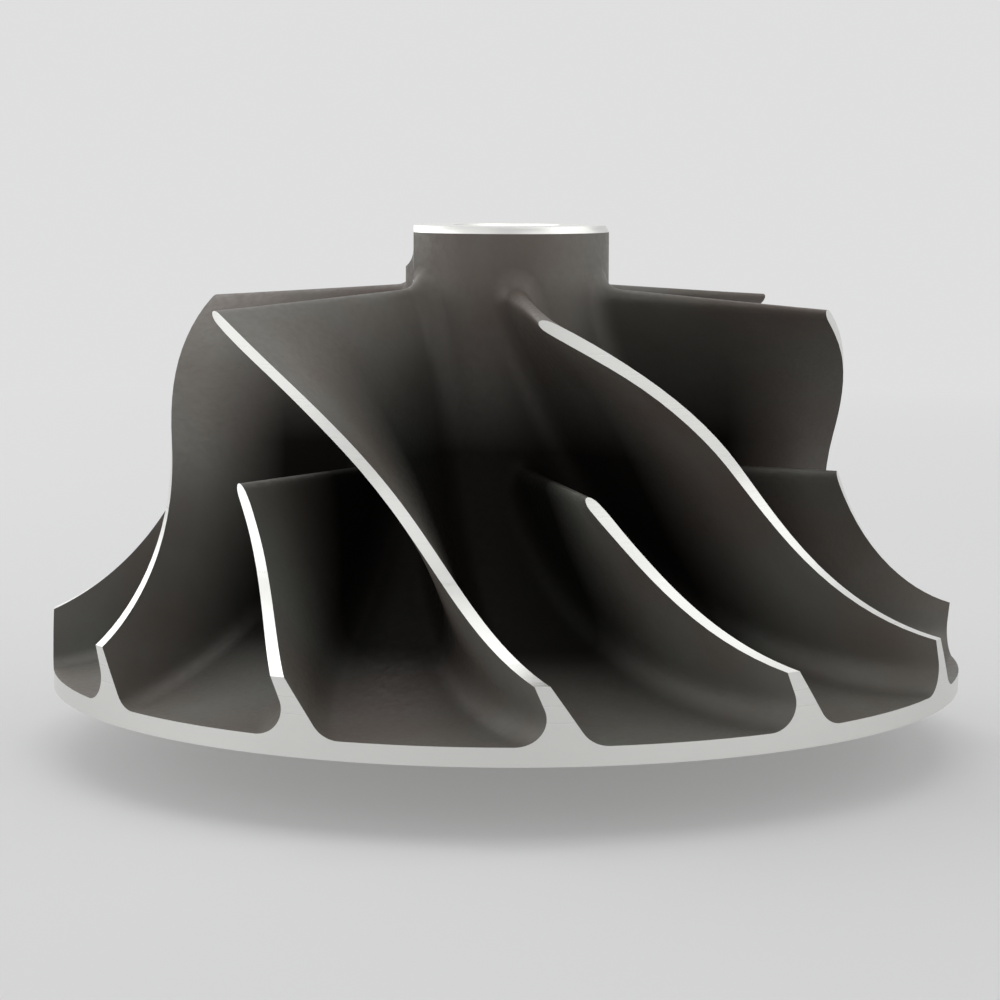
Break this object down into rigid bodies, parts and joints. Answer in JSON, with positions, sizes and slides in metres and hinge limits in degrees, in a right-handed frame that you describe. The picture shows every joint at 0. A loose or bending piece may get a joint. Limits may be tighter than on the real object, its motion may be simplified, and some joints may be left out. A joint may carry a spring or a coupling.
{
  "type": "compressor wheel",
  "caption": "Turbocharger compressor wheel: a one-piece cast and turned radial impeller with backswept full and splitter blades round a bored hub.",
  "frame": {"origin": "centre of the flat back face, on the shaft axis", "axes": "+Z along the shaft axis from the back face to the nose, the air's way in is down -Z; +X and +Y are in the back face, with the balance cut of the nose on the -X side"},
  "size_m": [0.06, 0.06, 0.0343],
  "materials": {
    "cast_aluminium": "satin"
  },
  "bodies": {
    "root": {"compressor_wheel": "cast_aluminium"}
  },
  "joints": []
}
